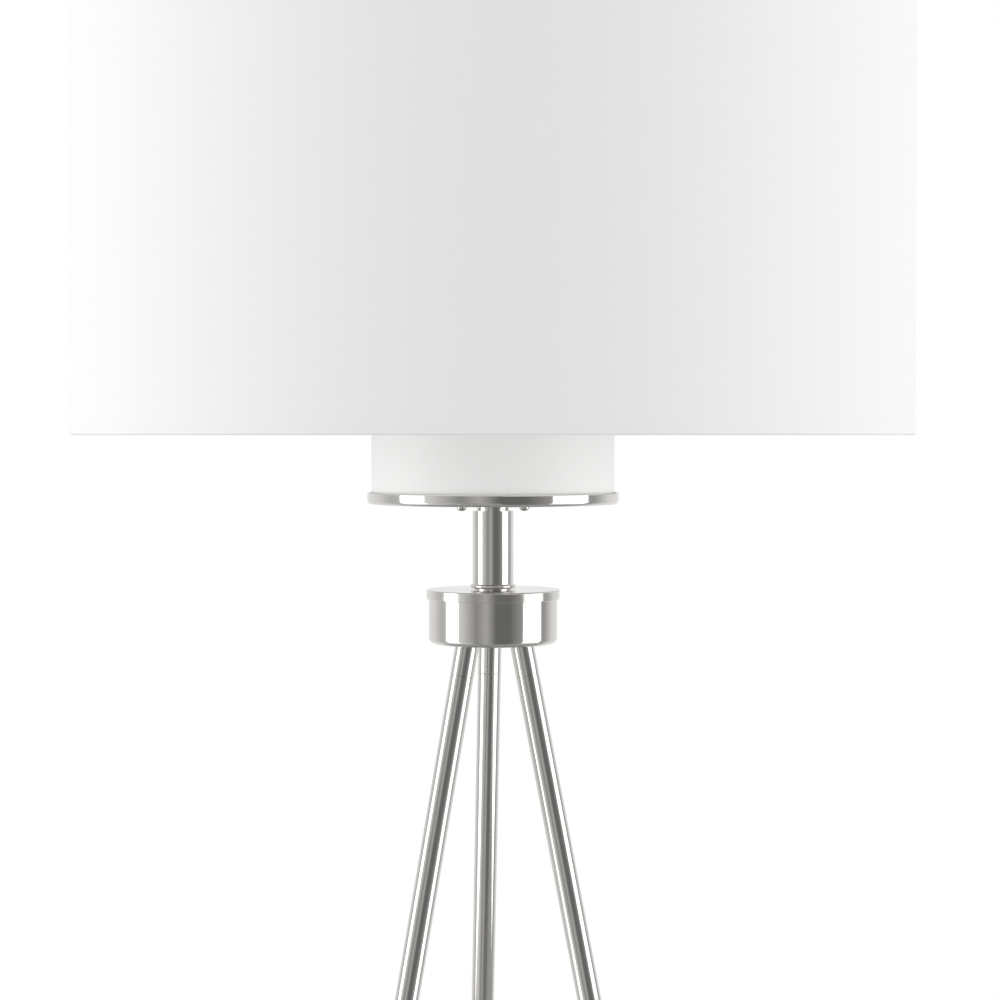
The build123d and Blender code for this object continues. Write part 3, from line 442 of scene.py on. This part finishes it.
def shade_cloth():
    """One strip of linen wrapped round the liner, turned in over both hoops and lapped at the back."""
    line = np.array([tuple(p) for p in cloth_profile()])
    step = np.gradient(line, axis=0)
    step /= np.linalg.norm(step, axis=1)[:, None]
    normal = np.stack([step[:, 1], -step[:, 0]], axis=1)
    length = np.concatenate([[0], np.cumsum(np.linalg.norm(np.diff(line, axis=0), axis=1))])
    girth = FULL_TURN * outer
    columns = CLOTH_COLUMNS
    arc = np.linspace(0, girth + OVERLAP, columns)
    lap = np.clip((arc - (girth - LAP_START)) / LAP_RAMP, 0, 1)
    lap = (lap * lap * (3 - 2 * lap)) * LAP_LIFT
    angle = SEAM_AT - OVERLAP / 2 / outer + arc / outer
    # Slow unevenness of a glued cloth, a few hundredths of a millimetre, more on the turned hems.
    z = line[:, 1]
    in_hem = (line[:, 0] < outer - 1.5 * MM).astype(float)
    rng = np.random.default_rng(7)
    points, uvs = [], []
    ripple = np.zeros((len(line), columns))
    for _ in range(14):
        waves = rng.integers(2, 26)
        turns = rng.uniform(-14, 14)
        phase = rng.uniform(0, FULL_TURN)
        ripple += np.sin(waves * angle[None, :] + turns * z[:, None] + phase) * 0.006 * MM
    pucker = np.zeros(columns)
    for _ in range(40):
        waves = rng.integers(60, 420)
        pucker += np.sin(waves * angle + rng.uniform(0, FULL_TURN)) * 0.012 * MM
    tuck = in_hem[:, None] * (-np.abs(pucker))[None, :] * 0.6
    for side in (0.5, -0.5):
        shift = side * CLOTH + lap[None, :] + ripple + tuck
        radius = line[:, 0][:, None] + normal[:, 0][:, None] * shift
        height = line[:, 1][:, None] + normal[:, 1][:, None] * shift
        x = radius * np.cos(angle)[None, :]
        y = radius * np.sin(angle)[None, :]
        points.append(np.stack([x, y, height], axis=2).reshape(-1, 3))
        uv = np.stack(np.broadcast_arrays(arc[None, :], length[:, None]), axis=2)
        uvs.append(uv.reshape(-1, 2))
    rows, count = len(line), len(line) * columns
    faces = grid_faces(rows, columns) + grid_faces(rows, columns, flip=True, start=count)
    for j in range(columns - 1):
        last = (rows - 1) * columns
        faces.append((j + 1, j, count + j, count + j + 1))
        faces.append((last + j, last + j + 1, count + last + j + 1, count + last + j))
    for i in range(rows - 1):
        a, b = i * columns, (i + 1) * columns
        faces.append((a, b, count + b, count + a))
        a, b = a + columns - 1, b + columns - 1
        faces.append((b, a, count + a, count + b))
    points, uvs = np.concatenate(points), np.concatenate(uvs)
    cloth = finish_piece("shade_cloth", points, faces, uvs, "shade", slots["white_linen"])
    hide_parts("shade_fabric", "shade_hem_bottom", "shade_hem_top")


shade_cloth()

# ------------------------------------------------------------------ floor
FLOOR_RADIUS = 1.75
FLOOR_FADES = (0.45, FLOOR_RADIUS - 0.05)
FLOOR_BELOW_FEET = 0.0005
FLOOR_RINGS, FLOOR_SPOKES = 12, 96


def floor():
    """A plain pale disc that fades out into the studio's white, grey to whatever mirrors it."""
    s = Shader("studio_floor", Specular_IOR_Level=0.25)
    texture = s.noise(s.place(), scale=3, detail=3)
    pale = s.blend(s.spread(texture, 0, 1, 0.3, 0.7), (0.79, 0.79, 0.79, 1), (0.81, 0.81, 0.81, 1))
    # To every ray but the camera's the floor is dark grey. This is painted shade that darkens its
    # reflections and the light it bounces, while the camera sees it pale.
    to_camera = s.node("ShaderNodeLightPath").outputs["Is Camera Ray"]
    s.set("Base Color", s.blend(to_camera, (0.26, 0.26, 0.26, 1), pale))
    s.set("Roughness", 0.6)
    reach = s.node("ShaderNodeVectorMath", operation="LENGTH")
    s.plug(reach.inputs[0], s.place())
    from_above = s.maths("SUBTRACT", 1, s.node("ShaderNodeNewGeometry").outputs["Backfacing"])
    fade = s.spread(reach.outputs["Value"], 1, 0, *FLOOR_FADES)
    s.set("Alpha", s.maths("MULTIPLY", from_above, fade))
    mesh = bpy.data.meshes.new("studio_floor")
    rings, spokes = FLOOR_RINGS, FLOOR_SPOKES
    points = [(0, 0, 0)]
    for i in range(1, rings + 1):
        radius = FLOOR_RADIUS * i / rings
        for j in range(spokes):
            turn = FULL_TURN * j / spokes
            points.append((radius * math.cos(turn), radius * math.sin(turn), 0))
    faces = [(0, 1 + j, 1 + (j + 1) % spokes) for j in range(spokes)]
    faces += grid_faces(rings, spokes, close_columns=True, flip=True, start=1)
    mesh.from_pydata(points, [], faces)
    made = bpy.data.objects.new("studio_floor", mesh)
    bpy.context.scene.collection.objects.link(made)
    made.data.materials.append(s.material)
    made.location.z = -FLOOR_BELOW_FEET


floor()

# ------------------------------------------------------------------ camera
CAMERA_TURN = math.radians(-5.5)  # round the lamp
CAMERA_DISTANCE = 1.324
CAMERA_TILT = math.radians(1.52)  # down
CAMERA_PAN = math.radians(0.164)  # to its right
LENS = 88.2
toward = Vector((-math.sin(CAMERA_TURN), math.cos(CAMERA_TURN), 0))
camera_data = bpy.data.cameras.new("camera")
camera = bpy.data.objects.new("camera", camera_data)
bpy.context.scene.collection.objects.link(camera)
camera.location = -toward * CAMERA_DISTANCE + Vector((0, 0, hem_low))
camera.rotation_euler = (math.radians(90) - CAMERA_TILT, 0, CAMERA_TURN - CAMERA_PAN)
camera_data.lens = LENS
camera_data.sensor_width = 36
camera_data.clip_start = 0.05
camera_data.clip_end = 60
bpy.context.scene.camera = camera

# ------------------------------------------------------------------ light
AIM_HEIGHT = 1.30
SOFTBOX_DISTANCE = 2.0
SOFTBOX_HEIGHT = 2.5
right = Vector((toward.y, -toward.x, 0))


def softbox(name, degrees_round, width, watts):
    """A large soft light beside the lamp. Degrees go round from the camera, to its right if positive."""
    turn = math.radians(degrees_round)
    away = -toward * math.cos(turn) + right * math.sin(turn)
    data = bpy.data.lights.new(name, "AREA")
    data.shape = "RECTANGLE"
    data.size, data.size_y, data.energy = width, SOFTBOX_HEIGHT, watts
    light = bpy.data.objects.new(name, data)
    bpy.context.scene.collection.objects.link(light)
    light.location = away * SOFTBOX_DISTANCE + Vector((0, 0, AIM_HEIGHT))
    light.rotation_euler = (-away).to_track_quat("-Z", "Y").to_euler()
    light.visible_camera = False


softbox("softbox_left", degrees_round=-78, width=1.00, watts=11.7)
softbox("softbox_right", degrees_round=75, width=1.46, watts=15.6)

# Brightness round the studio, by degrees round from the camera, to its right if positive.
# Metal mirrors a light back wall, grey corners, and a dark wall behind the camera with one paler strip.
MIRRORED_ROOM = (
    (-180, 0.90), (-130, 0.75), (-105, 0.50), (-60, 0.70), (-30, 0.28), (-12, 0.45),
    (5, 0.15), (30, 0.15), (55, 0.34), (105, 0.34), (130, 0.75), (180, 0.90),
)
# Cloth, glass and floor are lit more from both sides than from the front and the back.
SOFT_DOME = ((-180, 0.70), (-65, 1.50), (20, 0.55), (90, 1.30), (180, 0.70))
# Brightness overhead and underfoot, and the sines of the elevations between which it takes over.
ROOM_CEILING, ROOM_FLOOR = (1.05, 0.60, 0.85), (0.45, 0.60, 0.85)
DOME_TOP, DOME_BOTTOM = (0.83, 0.45, 0.80), (0.74, 0.10, 0.50)


def studio_world():
    """White to the camera. Polished metal mirrors a room; cloth, glass and floor are lit by a soft dome."""
    world = bpy.data.worlds.new("studio")
    world.use_nodes = True
    tree = world.node_tree
    tree.nodes.clear()
    link = tree.links.new

    def node(kind, **settings):
        made = tree.nodes.new(kind)
        for key, value in settings.items():
            setattr(made, key, value)
        return made

    def dot(direction):
        made = node("ShaderNodeVectorMath", operation="DOT_PRODUCT")
        link(where, made.inputs[0])
        made.inputs[1].default_value = direction
        return made.outputs["Value"]

    def mixed(amount, first, second):
        made = node("ShaderNodeMix", data_type="RGBA")
        link(amount, made.inputs["Factor"])
        link(first, made.inputs[6])
        if isinstance(second, bpy.types.NodeSocket):
            link(second, made.inputs[7])
        else:
            made.inputs[7].default_value = (second, second, second, 1)
        return made.outputs[2]

    def band(levels):
        """Brightness round the horizon, blended between the levels given."""
        ramp = node("ShaderNodeValToRGB")
        link(round_by, ramp.inputs[0])
        stops = ramp.color_ramp.elements
        while len(stops) < len(levels):
            stops.new(0.5)
        for stop, (degrees_round, level) in zip(stops, levels):
            stop.position = degrees_round / 360 + 0.5
            stop.color = (level, level, level, 1)
        return ramp.outputs[0]

    def pole(colour, direction, level, start, end):
        """Fades to one brightness overhead or underfoot."""
        fade = node("ShaderNodeMapRange")
        link(dot(direction), fade.inputs[0])
        for socket, number in zip(fade.inputs[1:5], (start, end, 0.0, 1.0)):
            socket.default_value = number
        return mixed(fade.outputs[0], colour, level)

    where = node("ShaderNodeTexCoord").outputs["Generated"]
    angle = node("ShaderNodeMath", operation="ARCTAN2")
    link(dot(right), angle.inputs[0])
    link(dot(-toward), angle.inputs[1])
    turn = node("ShaderNodeMath", operation="MULTIPLY_ADD")
    link(angle.outputs[0], turn.inputs[0])
    turn.inputs[1].default_value = 1 / FULL_TURN
    turn.inputs[2].default_value = 0.5
    round_by = turn.outputs[0]

    room = pole(pole(band(MIRRORED_ROOM), UP, *ROOM_CEILING), DOWN, *ROOM_FLOOR)
    dome = pole(pole(band(SOFT_DOME), UP, *DOME_TOP), DOWN, *DOME_BOTTOM)
    path = node("ShaderNodeLightPath")
    colour = mixed(path.outputs["Is Glossy Ray"], dome, room)
    colour = mixed(path.outputs["Is Camera Ray"], colour, 1.0)
    surround = node("ShaderNodeBackground")
    link(colour, surround.inputs[0])
    link(surround.outputs[0], node("ShaderNodeOutputWorld").inputs[0])
    bpy.context.scene.world = world


studio_world()
scene = bpy.context.scene
scene.view_settings.view_transform = "Standard"
scene.cycles.use_denoising = True
scene.cycles.sample_clamp_indirect = 8
scene.cycles.max_bounces = 10
scene.cycles.transparent_max_bounces = 12
